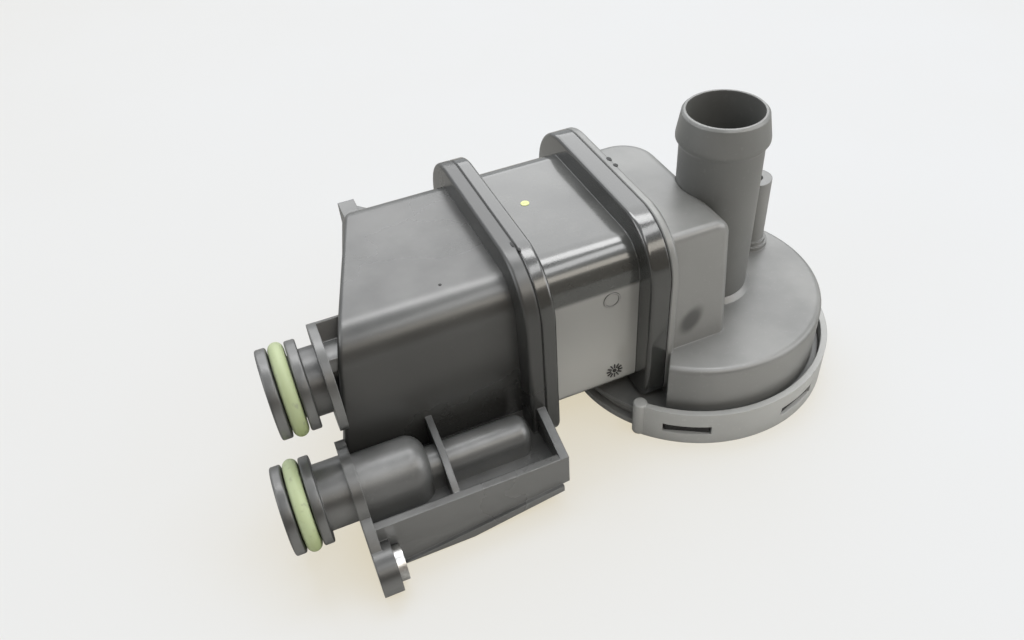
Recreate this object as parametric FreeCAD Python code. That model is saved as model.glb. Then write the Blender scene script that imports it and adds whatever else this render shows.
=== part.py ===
"""Crankcase oil separator: a welded three-piece box with a pressure valve and hose spigots.

Millimetres. The origin is on the valve axis at the plane that the part stands on.
+X runs from the hose spigots towards the valve, +Y to the back, +Z up along the outlet tube.
"""
import FreeCAD
import Part

import math
import os
from dataclasses import dataclass, replace
from FreeCAD import Vector

X_AXIS = Vector(1, 0, 0)
Y_AXIS = Vector(0, 1, 0)
Z_AXIS = Vector(0, 0, 1)

# Fits
CLEARANCE = 0.3
JOIN_PLAY = 0.05
PARALLEL_TOLERANCE = 1e-6
PLANE_TOLERANCE = 1e-3

# Welded box: middle section, walls and seams
WALL = 2.2
BODY_FRONT = -18.5
BODY_BACK = 46.1
BODY_BOTTOM = 12.6
BODY_TOP = 65.5
BODY_RADIUS = 11.0
BODY_LOW_RADIUS = 5.5
LEFT_INSET = 0.7
FLANGE_REACH = 6.8
FLANGE_LOW_REACH = 3.6
FLANGE_LOW_RADIUS = 6.0
FLANGE_HALF = 4.6
FLANGE_WIDE = 6.4
FLANGE_THIN = 2.8
FLANGE_EDGE = 1.2
SEAM_CHAMFER = 0.4
SEAM_1_X = -64.7
SEAM_2_X = -24.6

# Left end wall, a plane that leans and turns
END_WALL_X = -126.8
END_WALL_LEAN = 0.20
END_WALL_TURN = 0.25
END_WALL_RADIUS = 4.0

# Hose spigots of the left shell
SPIGOT_RADIUS = 12.5
SPIGOT_BORE = 7.5
SPIGOT_DISC = 3.0
SPIGOT_NECK = 9.5
SPIGOT_EDGE = 0.6
RING_SECTION = 4.2
RING_PROUD = 0.6
RING_SIDE_PLAY = 0.3
UPPER_TIP_X = -137.8
UPPER_Y = -11.1
UPPER_Z = 49.4
UPPER_PLATE_X = -123.0
UPPER_PLATE_RADIUS = 15.0
UPPER_PLATE = 2.4
GUSSET = 2.0
GUSSET_COUNT = 6
LOWER_TIP_X = -144.0
LOWER_Y = -26.8
LOWER_Z = 21.4

# Bracket trough below the lower spigot's pipe
BRACKET_X = -125.5
BRACKET_PLATE = 3.0
BRACKET_TOP_Z = 30.0
BRACKET_COLLAR = 2.5
PIPE_RADIUS = 8.65
PIPE_END_X = -102.6
DRAIN_RADIUS = 5.5
DRAIN_DROP = 2.8
DRAIN_END_X = -72.0
RIB_X = -99.4
RIB = 2.0
RIB_TOP_Z = 29.0
RIB_KNEE_Y = -30.0
RIB_KNEE_Z = 25.5
TROUGH_FLOOR_Z = 14.0
TROUGH_FLOOR = 2.4
FRONT_PLATE_Y = -41.4
FRONT_PLATE = 2.4
FRONT_PLATE_TOP_Z = 18.6
FRONT_PLATE_LEFT_Z = 0.6
FRONT_PLATE_RIGHT_Z = 7.7
STRIP_PROUD = 1.2
STRIP_LOW_Z = 0.4
STRIP_LEFT_X = -117.0
STRIP_KNEE_X = -96.0
STRIP_RIGHT_DROP = 2.2
RIGHT_PLATE = 2.6
RIGHT_PLATE_TOP_Z = 24.0
LUG_Y = -46.1
LUG_RADIUS = 7.4
LUG_THICKNESS = 5.6
BUSH_RADIUS = 5.0
BUSH_BORE = 3.25
BUSH_PROUD = 2.4

# Locating tab on the back of the left shell
TAB_X = -101.4
TAB = 5.2
TAB_REACH = 4.2
TAB_LOW_Z = 34.0
TAB_TOP_Z = 62.0
TAB_RIB = 1.6
TAB_RIB_END_X = -83.0
TAB_RIB_DROP = 2.4

# Plates inside the box
INNER_PLATE = 2.0
INNER_PLATE_LAP = 1.2
NOZZLE_BORE = 2.2
NOZZLE_WALL = 1.0
NOZZLE_LENGTH = 6.0
NOZZLE_PITCH = 9.0
NOZZLE_ROWS = 3
NOZZLE_COLUMNS = 4
DRAIN_SLOT_WIDTH = 10.0
DRAIN_SLOT_HEIGHT = 3.0
SIDE_WINDOW = 9.0

# Right shell: box over the drum
BOX_END_X = -2.6
BOX_TOP = 66.7
BOX_BACK = 34.8
BOX_FRONT_LOW = -24.2
BOX_FRONT_TOP = -20.2
BOX_TOP_RADIUS = 2.8
BOX_BACK_RADIUS = 12.0
BOX_END_RADIUS = 4.6

# Valve drum and outlet tube
DRUM_RADIUS = 41.2
DRUM_TOP_Z = 27.6
DRUM_EDGE = 2.0
DRUM_ROOF = 2.4
DRUM_FRONT_CUT_DEG = 34.6
RIM_REACH = 1.8
RIM = 1.8
RIM_ROOF = 1.1
TUBE_X = 5.4
TUBE_RADIUS = 12.5
TUBE_WALL = 1.3
TUBE_TOP_Z = 89.7
TUBE_FOOT = 1.6
BARB_REACH = 1.2
BARB_DROP = 7.6
BARB_LAND = 1.0
BARB_BACK = 2.0
BOSS_X = 28.8
BOSS_Y = 11.1
BOSS_RADIUS = 5.2
BOSS_HOLE = 2.2
BOSS_HOLE_DEPTH = 14.0
BOSS_TOP_Z = 53.6
BOSS_STEP = 0.7
BOSS_STEP_HEIGHT = 1.6
BOSS_STEP_COUNT = 2

# Cap under the drum
CAP_BASE = 2.0
CAP_BASE_INSET = 0.4
CAP_RIM_HEIGHT = 3.0
CAP_SKIRT = 2.0
CAP_SKIRT_TOP_Z = 12.8
CAP_SKIRT_START_DEG = -141.0
CAP_SKIRT_END_DEG = 112.0
WINDOW_FIRST_DEG = -121.5
WINDOW_PITCH_DEG = 49.4
WINDOW_COUNT = 5
WINDOW_WIDTH_DEG = 19.0
WINDOW_LOW_Z = 4.1
WINDOW_HEIGHT = 3.4
HOOK = 0.6
HOOK_HEIGHT = 1.2
VENT_RADIUS = 1.6
VENT_X = 15.0
STOP_RADIUS = 10.0
STOP_HEIGHT = 0.4
STOP_WALL = 2.0

# Diaphragm, its plate and spring
BEAD_INSET = 1.4
BEAD_WIDTH = 3.6
BEAD_HEIGHT = 1.8
MEMBRANE = 0.8
PLATE_RADIUS = 18.0
PLATE = 1.5
PLATE_GAP = 0.1
VALVE_TRAVEL = 2.5
SEAT_RADIUS = 11.5
SEAT_BORE = 9.5
COLLAR_RADIUS = 15.2
COLLAR = 2.0
COLLAR_Z = 16.0
SPRING_RADIUS = 13.6
SPRING_WIRE = 1.1
SPRING_TURNS = 4

# Places worked out from the sizes above
FLANGE_1_LEFT = SEAM_1_X - FLANGE_HALF
FLANGE_2_RIGHT = SEAM_2_X + FLANGE_THIN
RING_GROOVE = RING_SECTION + 2 * RING_SIDE_PLAY
RING_MEAN = SPIGOT_RADIUS + RING_PROUD - RING_SECTION / 2
SPIGOT_HEAD = 2 * SPIGOT_DISC + RING_GROOVE
LUG_Z = LUG_RADIUS
BUSH_END_X = BRACKET_X + LUG_THICKNESS + BUSH_PROUD
BEAD_Z = CAP_BASE + CAP_RIM_HEIGHT
RIM_Z = BEAD_Z + BEAD_HEIGHT
RIM_TOP_Z = RIM_Z + RIM
RIM_RADIUS = DRUM_RADIUS + RIM_REACH
CAP_BASE_RADIUS = RIM_RADIUS - CAP_BASE_INSET
BEAD_OUTER = DRUM_RADIUS - BEAD_INSET
TUBE_BORE = TUBE_RADIUS - TUBE_WALL
BARB_RADIUS = TUBE_RADIUS + BARB_REACH
SKIRT_INNER = RIM_RADIUS + CLEARANCE
SKIRT_OUTER = SKIRT_INNER + CAP_SKIRT
MEMBRANE_Z = CAP_BASE + STOP_HEIGHT + CLEARANCE
PLATE_Z = MEMBRANE_Z + MEMBRANE + PLATE_GAP
PLATE_TOP_Z = PLATE_Z + PLATE
SEAT_Z = PLATE_TOP_Z + VALVE_TRAVEL + CLEARANCE
CHAMBER_RADIUS = DRUM_RADIUS - WALL
CHAMBER_TOP_Z = DRUM_TOP_Z - DRUM_ROOF
PORT_Z = DRUM_TOP_Z - DRUM_ROOF / 2
FOOT_TOP_Z = DRUM_TOP_Z + TUBE_FOOT


@dataclass(frozen=True)
class Section:
    """A rounded rectangle across the box, by its sides."""
    front: float
    back: float
    bottom: float
    top: float
    radius: float
    low_radius: float

    def grown(self, by):
        """Return the section moved out by a distance on every side."""
        return Section(
            self.front - by,
            self.back + by,
            self.bottom - by,
            self.top + by,
            self.radius + by,
            self.low_radius + by,
        )

    def bar(self, x_from, x_to):
        """Return a bar of this section between two places on X."""
        solid = Part.makeBox(
            x_to - x_from,
            self.back - self.front,
            self.top - self.bottom,
            Vector(x_from, self.front, self.bottom),
        )
        middle_z = (self.bottom + self.top) / 2
        low = [edge for edge in edges_along(solid, X_AXIS) if edge.CenterOfMass.z < middle_z]
        solid = solid.makeFillet(self.low_radius, low)
        high_z = self.top - CLEARANCE
        high = [edge for edge in edges_along(solid, X_AXIS) if edge.CenterOfMass.z > high_z]
        return solid.makeFillet(self.radius, high)


MIDDLE = Section(BODY_FRONT, BODY_BACK, BODY_BOTTOM, BODY_TOP, BODY_RADIUS, BODY_LOW_RADIUS)
LEFT = MIDDLE.grown(-LEFT_INSET)
FLANGE = replace(
    MIDDLE.grown(FLANGE_REACH),
    bottom=BODY_BOTTOM - FLANGE_LOW_REACH,
    low_radius=FLANGE_LOW_RADIUS,
)
OPENING = LEFT.grown(-WALL)
REBATE = OPENING.grown(INNER_PLATE_LAP)
INNER_PLATE_OUTLINE = REBATE.grown(-CLEARANCE)


def edges_along(shape, direction):
    """Return the straight edges of a shape that run along a direction."""
    found = []
    for edge in shape.Edges:
        if not isinstance(edge.Curve, Part.Line):
            continue
        tangent = edge.tangentAt(edge.FirstParameter)
        if tangent.cross(direction).Length < PARALLEL_TOLERANCE:
            found.append(edge)
    return found


def edges_on_plane(shape, point, normal):
    """Return the edges of a shape that lie in a plane."""
    found = []
    for edge in shape.Edges:
        places = [edge.valueAt(edge.FirstParameter), edge.valueAt(edge.LastParameter), edge.CenterOfMass]
        if all(abs((place - point).dot(normal)) < PLANE_TOLERANCE for place in places):
            found.append(edge)
    return found


def disc(radius, low, high, x=0.0, y=0.0):
    """Return an upright round disc."""
    return Part.makeCylinder(radius, high - low, Vector(x, y, low), Z_AXIS)


def bar_x(radius, x_from, x_to, y, z):
    """Return a round bar along X."""
    return Part.makeCylinder(radius, x_to - x_from, Vector(x_from, y, z), X_AXIS)


def ring(inner, outer, low, high):
    """Return an upright ring on the valve axis."""
    return disc(outer, low, high).cut(disc(inner, low, high))


def plate_across_x(points, x_from, x_to):
    """Return a plate across X from its (y, z) corners."""
    corners = [Vector(x_from, y, z) for y, z in points]
    wire = Part.makePolygon(corners + corners[:1])
    return Part.Face(wire).extrude(Vector(x_to - x_from, 0, 0))


def plate_across_y(points, y_from, y_to):
    """Return a plate across Y from its (x, z) corners."""
    corners = [Vector(x, y_from, z) for x, z in points]
    wire = Part.makePolygon(corners + corners[:1])
    return Part.Face(wire).extrude(Vector(0, y_to - y_from, 0))


def turned(points):
    """Return a solid of revolution about Z from its (radius, z) corners."""
    corners = [Vector(r, 0, z) for r, z in points]
    wire = Part.makePolygon(corners + corners[:1])
    return Part.Face(wire).revolve(Vector(0, 0, 0), Z_AXIS, 360)


def sector(start_deg, end_deg, radius, low, high):
    """Return an upright pie sector on the valve axis."""
    solid = Part.makeCylinder(radius, high - low, Vector(0, 0, low), Z_AXIS, end_deg - start_deg)
    solid.rotate(Vector(0, 0, 0), Z_AXIS, start_deg)
    return solid


def one_solid(shape):
    """Return the single clean solid of a joined shape."""
    clean = shape.removeSplitter()
    return clean.Solids[0] if len(clean.Solids) == 1 else clean


def flange_half(x_from, x_to, seam_x):
    """Return one half of a weld flange, with a chamfer at the seam and a rounded outer edge."""
    plate = FLANGE.bar(x_from, x_to)
    far_x = x_from if seam_x == x_to else x_to
    plate = plate.makeFillet(FLANGE_EDGE, edges_on_plane(plate, Vector(far_x, 0, 0), X_AXIS))
    return plate.makeChamfer(SEAM_CHAMFER, edges_on_plane(plate, Vector(seam_x, 0, 0), X_AXIS))


def end_wall_normal():
    """Return the outward normal of the left end wall."""
    normal = Vector(-1, END_WALL_TURN, END_WALL_LEAN)
    return normal.normalize()


def end_wall_x(y, z):
    """Return the place on X of the left end wall's outer face."""
    return END_WALL_X + END_WALL_LEAN * (z - BODY_BOTTOM) + END_WALL_TURN * (y - BODY_FRONT)


def beyond_end_wall(depth):
    """Return a block that fills the space outside the end wall, moved in by a depth."""
    size = 4 * (BODY_TOP - BODY_BOTTOM)
    normal = end_wall_normal()
    point = Vector(END_WALL_X, BODY_FRONT, BODY_BOTTOM) - normal * depth
    block = Part.makeBox(size, size, size, Vector(-size / 2, -size / 2, 0))
    turn = FreeCAD.Rotation(Z_AXIS, normal)
    block.Placement = FreeCAD.Placement(point, turn)
    return block


def left_block(section, x_to, depth, radius):
    """Return a closed block of the left shell, with its end wall moved in by a depth."""
    far_x = END_WALL_X - (BODY_TOP - BODY_BOTTOM)
    block = section.bar(far_x, x_to).cut(beyond_end_wall(depth))
    normal = end_wall_normal()
    point = Vector(END_WALL_X, BODY_FRONT, BODY_BOTTOM) - normal * depth
    return block.makeFillet(radius, edges_on_plane(block, point, normal))


def spigot(tip_x, y, z, back_x):
    """Return a plug-in hose spigot with a ring groove between two discs."""
    groove_floor = SPIGOT_RADIUS + RING_PROUD - RING_SECTION - CLEARANCE
    head = bar_x(groove_floor, tip_x, tip_x + SPIGOT_HEAD, y, z)
    for start in (tip_x, tip_x + SPIGOT_DISC + RING_GROOVE):
        plate = bar_x(SPIGOT_RADIUS, start, start + SPIGOT_DISC, y, z)
        rims = edges_on_plane(plate, Vector(start, 0, 0), X_AXIS)
        rims += edges_on_plane(plate, Vector(start + SPIGOT_DISC, 0, 0), X_AXIS)
        head = head.fuse(plate.makeFillet(SPIGOT_EDGE, rims))
    return head.fuse(bar_x(SPIGOT_NECK, tip_x + SPIGOT_HEAD, back_x, y, z))


def ring_seal(tip_x, y, z):
    """Return the round-section ring in a spigot's groove."""
    centre = Vector(tip_x + SPIGOT_DISC + RING_GROOVE / 2, y, z)
    return Part.makeTorus(RING_MEAN, RING_SECTION / 2, centre, X_AXIS)


def domed_bar(radius, x_from, x_to, y, z):
    """Return a round bar along X with a domed far end."""
    straight = bar_x(radius, x_from, x_to - radius, y, z)
    return straight.fuse(Part.makeSphere(radius, Vector(x_to - radius, y, z)))


def bracket():
    """Return the bracket trough with its plates, pipe and lug."""
    right = BRACKET_X + BRACKET_PLATE
    wall_y = LEFT.front + WALL / 2
    plate_back = FRONT_PLATE_Y + FRONT_PLATE
    left_plate = plate_across_x(
        [
            (wall_y, BRACKET_TOP_Z),
            (FRONT_PLATE_Y, FRONT_PLATE_TOP_Z),
            (LUG_Y - LUG_RADIUS, LUG_Z),
            (LUG_Y, 0.0),
            (plate_back, FRONT_PLATE_LEFT_Z),
            (wall_y, TROUGH_FLOOR_Z - TROUGH_FLOOR),
        ],
        BRACKET_X,
        right,
    )
    collar = bar_x(PIPE_RADIUS + BRACKET_COLLAR, BRACKET_X, right, LOWER_Y, LOWER_Z)
    lug = bar_x(LUG_RADIUS, BRACKET_X, BRACKET_X + LUG_THICKNESS, LUG_Y, LUG_Z)
    pipe = domed_bar(PIPE_RADIUS, BRACKET_X, PIPE_END_X, LOWER_Y, LOWER_Z)
    drain = domed_bar(DRAIN_RADIUS, PIPE_END_X - PIPE_RADIUS, DRAIN_END_X, LOWER_Y, LOWER_Z - DRAIN_DROP)
    end_x = SEAM_1_X - SEAM_CHAMFER
    floor_low_z = TROUGH_FLOOR_Z - TROUGH_FLOOR
    apron_y = LEFT.front + LEFT.low_radius
    apron_z = LEFT.bottom + LEFT.low_radius
    floor = plate_across_x(
        [
            (LEFT.front, apron_z),
            (LEFT.front, TROUGH_FLOOR_Z),
            (FRONT_PLATE_Y, TROUGH_FLOOR_Z),
            (FRONT_PLATE_Y, floor_low_z),
            (apron_y, floor_low_z),
            (apron_y, apron_z),
        ],
        BRACKET_X,
        end_x,
    )
    rib = plate_across_x(
        [
            (wall_y, RIB_TOP_Z),
            (RIB_KNEE_Y, RIB_KNEE_Z),
            (plate_back, FRONT_PLATE_TOP_Z),
            (plate_back, floor_low_z),
            (wall_y, floor_low_z),
        ],
        RIB_X,
        RIB_X + RIB,
    )
    front = plate_across_y(
        [
            (BRACKET_X, FRONT_PLATE_TOP_Z),
            (end_x, FRONT_PLATE_TOP_Z),
            (end_x, FRONT_PLATE_RIGHT_Z),
            (STRIP_LEFT_X, FRONT_PLATE_LEFT_Z),
            (BRACKET_X, FRONT_PLATE_LEFT_Z),
        ],
        FRONT_PLATE_Y,
        plate_back,
    )
    strip_end = end_x - STRIP_RIGHT_DROP
    strip = plate_across_y(
        [
            (STRIP_LEFT_X, FRONT_PLATE_LEFT_Z),
            (strip_end, FRONT_PLATE_RIGHT_Z),
            (strip_end, FRONT_PLATE_RIGHT_Z - STRIP_RIGHT_DROP),
            (STRIP_KNEE_X, STRIP_LOW_Z),
            (STRIP_LEFT_X, STRIP_LOW_Z),
        ],
        FRONT_PLATE_Y - STRIP_PROUD,
        plate_back,
    )
    right_plate = plate_across_x(
        [
            (wall_y, RIGHT_PLATE_TOP_Z),
            (FLANGE.front, RIGHT_PLATE_TOP_Z),
            (FRONT_PLATE_Y, FRONT_PLATE_TOP_Z),
            (FRONT_PLATE_Y, FRONT_PLATE_RIGHT_Z),
            (wall_y, TROUGH_FLOOR_Z - TROUGH_FLOOR),
        ],
        end_x - RIGHT_PLATE,
        end_x,
    )
    return left_plate.multiFuse([collar, lug, pipe, drain, floor, rib, front, strip, right_plate])


def upper_inlet():
    """Return the upper spigot with its round plate and the gussets behind it."""
    plate_end = UPPER_PLATE_X + UPPER_PLATE
    wall_x = end_wall_x(UPPER_Y, UPPER_Z) + WALL
    inlet = spigot(UPPER_TIP_X, UPPER_Y, UPPER_Z, wall_x)
    plate = bar_x(UPPER_PLATE_RADIUS, UPPER_PLATE_X, plate_end, UPPER_Y, UPPER_Z)
    inlet = inlet.fuse(plate)
    room = beyond_end_wall(WALL / 2).common(LEFT.grown(-WALL / 2).bar(UPPER_PLATE_X, SEAM_1_X))
    for index in range(GUSSET_COUNT):
        gusset = Part.makeBox(
            wall_x + UPPER_PLATE_RADIUS * END_WALL_TURN - UPPER_PLATE_X,
            UPPER_PLATE_RADIUS,
            GUSSET,
            Vector(UPPER_PLATE_X, UPPER_Y, UPPER_Z - GUSSET / 2),
        )
        gusset.rotate(Vector(0, UPPER_Y, UPPER_Z), X_AXIS, index * 360.0 / GUSSET_COUNT)
        inlet = inlet.fuse(gusset.common(room))
    return inlet


def back_tab():
    """Return the locating tab on the left shell's back and the thin rib beside it."""
    root_y = LEFT.back - LEFT.radius
    tab = Part.makeBox(
        TAB,
        LEFT.back + TAB_REACH - root_y,
        TAB_TOP_Z - TAB_LOW_Z,
        Vector(TAB_X, root_y, TAB_LOW_Z),
    )
    rib_top = TAB_TOP_Z - TAB_RIB_DROP
    rib = Part.Face(Part.makePolygon([
        Vector(TAB_X, root_y, rib_top),
        Vector(TAB_X, LEFT.back + TAB_REACH, rib_top),
        Vector(TAB_X + TAB, LEFT.back + TAB_REACH, rib_top),
        Vector(TAB_RIB_END_X, root_y, rib_top),
        Vector(TAB_X, root_y, rib_top),
    ])).extrude(Vector(0, 0, -TAB_RIB))
    return tab.fuse(rib)


def left_shell():
    """Return the left shell with both spigots, the bracket and the weld flange."""
    outside = left_block(LEFT, SEAM_1_X, 0.0, END_WALL_RADIUS)
    solid = outside.multiFuse([
        flange_half(FLANGE_1_LEFT, SEAM_1_X, SEAM_1_X),
        upper_inlet(),
        bracket(),
        back_tab(),
        spigot(LOWER_TIP_X, LOWER_Y, LOWER_Z, BRACKET_X),
    ])
    inside = left_block(OPENING, SEAM_1_X, WALL, END_WALL_RADIUS - WALL)
    drain_z = LOWER_Z - DRAIN_DROP
    inlet_end = end_wall_x(UPPER_Y, UPPER_Z) + 3 * WALL
    inlet_bore = bar_x(SPIGOT_BORE, UPPER_TIP_X, inlet_end, UPPER_Y, UPPER_Z)
    drain_bore = bar_x(SPIGOT_BORE - WALL, LOWER_TIP_X, PIPE_END_X - PIPE_RADIUS, LOWER_Y, LOWER_Z)
    mouth = bar_x(SPIGOT_BORE, LOWER_TIP_X, BRACKET_X, LOWER_Y, LOWER_Z)
    cross_length = OPENING.front + WALL - LOWER_Y
    cross_x = PIPE_END_X - PIPE_RADIUS - DRAIN_RADIUS
    cross = Part.makeCylinder(DRAIN_RADIUS - WALL, cross_length, Vector(cross_x, LOWER_Y, drain_z), Y_AXIS)
    bush_seat = bar_x(BUSH_RADIUS + JOIN_PLAY, BRACKET_X, BUSH_END_X + JOIN_PLAY, LUG_Y, LUG_Z)
    return one_solid(solid.cut(inside).cut(inlet_bore).cut(drain_bore).cut(mouth).cut(cross).cut(bush_seat))


def lug_bush():
    """Return the steel bush pressed into the bracket's lug."""
    outside = bar_x(BUSH_RADIUS, BRACKET_X, BUSH_END_X, LUG_Y, LUG_Z)
    return one_solid(outside.cut(bar_x(BUSH_BORE, BRACKET_X, BUSH_END_X, LUG_Y, LUG_Z)))


def middle_shell():
    """Return the middle shell, a ring of wall between two weld flanges."""
    solid = MIDDLE.bar(SEAM_1_X, SEAM_2_X).multiFuse([
        flange_half(SEAM_1_X, SEAM_1_X + FLANGE_HALF, SEAM_1_X),
        flange_half(SEAM_2_X - FLANGE_WIDE, SEAM_2_X, SEAM_2_X),
    ])
    solid = solid.cut(OPENING.bar(SEAM_1_X, SEAM_2_X))
    rebate = INNER_PLATE + CLEARANCE
    solid = solid.cut(REBATE.bar(SEAM_1_X, SEAM_1_X + rebate))
    return one_solid(solid.cut(REBATE.bar(SEAM_2_X - rebate, SEAM_2_X)))


def nozzle_places():
    """Return the (y, z) places of the nozzles."""
    middle_y = (OPENING.front + OPENING.back) / 2
    middle_z = (OPENING.bottom + OPENING.top) / 2
    places = []
    for row in range(NOZZLE_ROWS):
        for column in range(NOZZLE_COLUMNS):
            y = middle_y + (column - (NOZZLE_COLUMNS - 1) / 2) * NOZZLE_PITCH
            z = middle_z + (row - (NOZZLE_ROWS - 1) / 2) * NOZZLE_PITCH
            places.append((y, z))
    return places


def drain_slot(x_from, x_to):
    """Return the cutter for the slot that lets oil run along the floor."""
    middle_y = (OPENING.front + OPENING.back) / 2
    return Part.makeBox(
        x_to - x_from,
        DRAIN_SLOT_WIDTH,
        DRAIN_SLOT_HEIGHT,
        Vector(x_from, middle_y - DRAIN_SLOT_WIDTH / 2, OPENING.bottom),
    )


def nozzle_plate():
    """Return the plate whose nozzles speed up the gas at the first seam."""
    x_from = SEAM_1_X + CLEARANCE / 2
    x_to = x_from + INNER_PLATE
    plate = INNER_PLATE_OUTLINE.bar(x_from, x_to)
    for y, z in nozzle_places():
        plate = plate.fuse(bar_x(NOZZLE_BORE + NOZZLE_WALL, x_to, x_to + NOZZLE_LENGTH, y, z))
    for y, z in nozzle_places():
        plate = plate.cut(bar_x(NOZZLE_BORE, x_from, x_to + NOZZLE_LENGTH, y, z))
    return one_solid(plate.cut(drain_slot(x_from, x_to)))


def impact_plate():
    """Return the plate that the gas strikes at the second seam, with windows at both sides."""
    x_to = SEAM_2_X - CLEARANCE / 2
    x_from = x_to - INNER_PLATE
    plate = INNER_PLATE_OUTLINE.bar(x_from, x_to)
    height = OPENING.top - OPENING.bottom - 2 * OPENING.radius
    for y in (OPENING.front + WALL, OPENING.back - WALL - SIDE_WINDOW):
        corner = Vector(x_from, y, OPENING.bottom + OPENING.radius)
        plate = plate.cut(Part.makeBox(INNER_PLATE, SIDE_WINDOW, height, corner))
    return one_solid(plate.cut(drain_slot(x_from, x_to)))


def box_profile(depth):
    """Return the (y, z) corners of the right shell's box, moved in by a depth."""
    return [
        (BOX_FRONT_LOW + depth, BODY_BOTTOM + depth),
        (BOX_FRONT_LOW + depth, DRUM_TOP_Z),
        (BOX_FRONT_TOP + depth, BOX_TOP - depth),
        (BOX_BACK - depth, BOX_TOP - depth),
        (BOX_BACK - depth, BODY_BOTTOM + depth),
    ]


def right_box(depth):
    """Return a block of the right shell's box, moved in by a depth and rounded."""
    end_x = BOX_END_X - depth
    block = plate_across_x(box_profile(depth), SEAM_2_X, end_x)
    top_z = BOX_TOP - depth
    upright = [e for e in edges_along(block, Z_AXIS) if e.CenterOfMass.x > end_x - CLEARANCE]
    block = block.makeFillet(BOX_BACK_RADIUS - depth, [e for e in upright if e.CenterOfMass.y > 0])
    across = [e for e in edges_along(block, Y_AXIS) if e.CenterOfMass.z > top_z - CLEARANCE]
    end_edges = [e for e in across if e.CenterOfMass.x > end_x - CLEARANCE]
    block = block.makeFillet(BOX_END_RADIUS - depth, end_edges)
    lengthwise = [e for e in edges_along(block, X_AXIS) if e.CenterOfMass.z > top_z - CLEARANCE]
    front = [e for e in lengthwise if e.CenterOfMass.y < 0]
    return block.makeFillet(max(BOX_TOP_RADIUS - depth, CLEARANCE), front)


def half_space_right_of(x):
    """Return a block that fills the space to the right of a place on X."""
    size = 4 * DRUM_RADIUS
    return Part.makeBox(size, size, size, Vector(x, -size / 2, -size / 2))


def drum_front_wedge():
    """Return the wedge of space beside the flange's front edge that the drum runs into."""
    corner_x = FLANGE_2_RIGHT - FLANGE_EDGE
    length = DRUM_RADIUS + FLANGE.front
    reach = length * math.tan(math.radians(DRUM_FRONT_CUT_DEG))
    corners = [
        Vector(corner_x, FLANGE.front, RIM_Z),
        Vector(corner_x - reach, FLANGE.front - length, RIM_Z),
        Vector(corner_x, FLANGE.front - length, RIM_Z),
    ]
    wire = Part.makePolygon(corners + corners[:1])
    return Part.Face(wire).extrude(Vector(0, 0, DRUM_TOP_Z - RIM_Z))


def drum():
    """Return the solid drum over the full lower rim."""
    top = disc(DRUM_RADIUS, RIM_TOP_Z, DRUM_TOP_Z)
    top = top.makeFillet(DRUM_EDGE, edges_on_plane(top, Vector(0, 0, DRUM_TOP_Z), Z_AXIS))
    top = top.common(half_space_right_of(FLANGE_2_RIGHT - FLANGE_EDGE).fuse(drum_front_wedge()))
    return top.fuse(disc(RIM_RADIUS, RIM_Z, RIM_TOP_Z))


def drum_chamber():
    """Return the space inside the drum and its rim."""
    chamber = disc(CHAMBER_RADIUS, RIM_TOP_Z - RIM_ROOF, CHAMBER_TOP_Z)
    chamber = chamber.common(half_space_right_of(FLANGE_2_RIGHT))
    rim_space = disc(BEAD_OUTER - BEAD_WIDTH, RIM_Z, RIM_TOP_Z - RIM_ROOF)
    return chamber.fuse(rim_space)


def tube_foot():
    """Return the flared foot that carries the outlet pipe on the drum."""
    foot = turned([
        (0.0, CHAMBER_TOP_Z),
        (TUBE_RADIUS + TUBE_FOOT, CHAMBER_TOP_Z),
        (TUBE_RADIUS + TUBE_FOOT, DRUM_TOP_Z),
        (TUBE_RADIUS, FOOT_TOP_Z),
        (0.0, FOOT_TOP_Z),
    ])
    foot.translate(Vector(TUBE_X, 0, 0))
    return foot


def outlet_pipe():
    """Return the upright outlet pipe with its hose barb."""
    low = FOOT_TOP_Z + JOIN_PLAY
    barb_z = TUBE_TOP_Z - BARB_DROP
    lip = (TUBE_RADIUS - TUBE_BORE) / 2
    pipe = turned([
        (TUBE_BORE, low),
        (TUBE_RADIUS, low),
        (TUBE_RADIUS, barb_z - BARB_LAND - BARB_BACK),
        (BARB_RADIUS, barb_z - BARB_LAND),
        (BARB_RADIUS, barb_z),
        (TUBE_RADIUS, TUBE_TOP_Z - lip),
        (TUBE_RADIUS - lip, TUBE_TOP_Z),
        (TUBE_BORE, TUBE_TOP_Z),
    ])
    pipe.translate(Vector(TUBE_X, 0, 0))
    return pipe


def seat_pipe():
    """Return the valve seat under the outlet, with a collar for the spring."""
    pipe = disc(SEAT_RADIUS, SEAT_Z, DRUM_TOP_Z)
    return pipe.fuse(disc(COLLAR_RADIUS, COLLAR_Z, COLLAR_Z + COLLAR))


def side_boss():
    """Return the slim boss on the drum, stepped at its foot."""
    boss = disc(BOSS_RADIUS, CHAMBER_TOP_Z, BOSS_TOP_Z, BOSS_X, BOSS_Y)
    for step in range(BOSS_STEP_COUNT):
        radius = BOSS_RADIUS + BOSS_STEP * (BOSS_STEP_COUNT - step)
        step_z = DRUM_TOP_Z + BOSS_STEP_HEIGHT * (step + 1)
        boss = boss.fuse(disc(radius, CHAMBER_TOP_Z, step_z, BOSS_X, BOSS_Y))
    return boss


def window_angles():
    """Return the middle angles of the cap's snap windows."""
    return [WINDOW_FIRST_DEG + index * WINDOW_PITCH_DEG for index in range(WINDOW_COUNT)]


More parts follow.
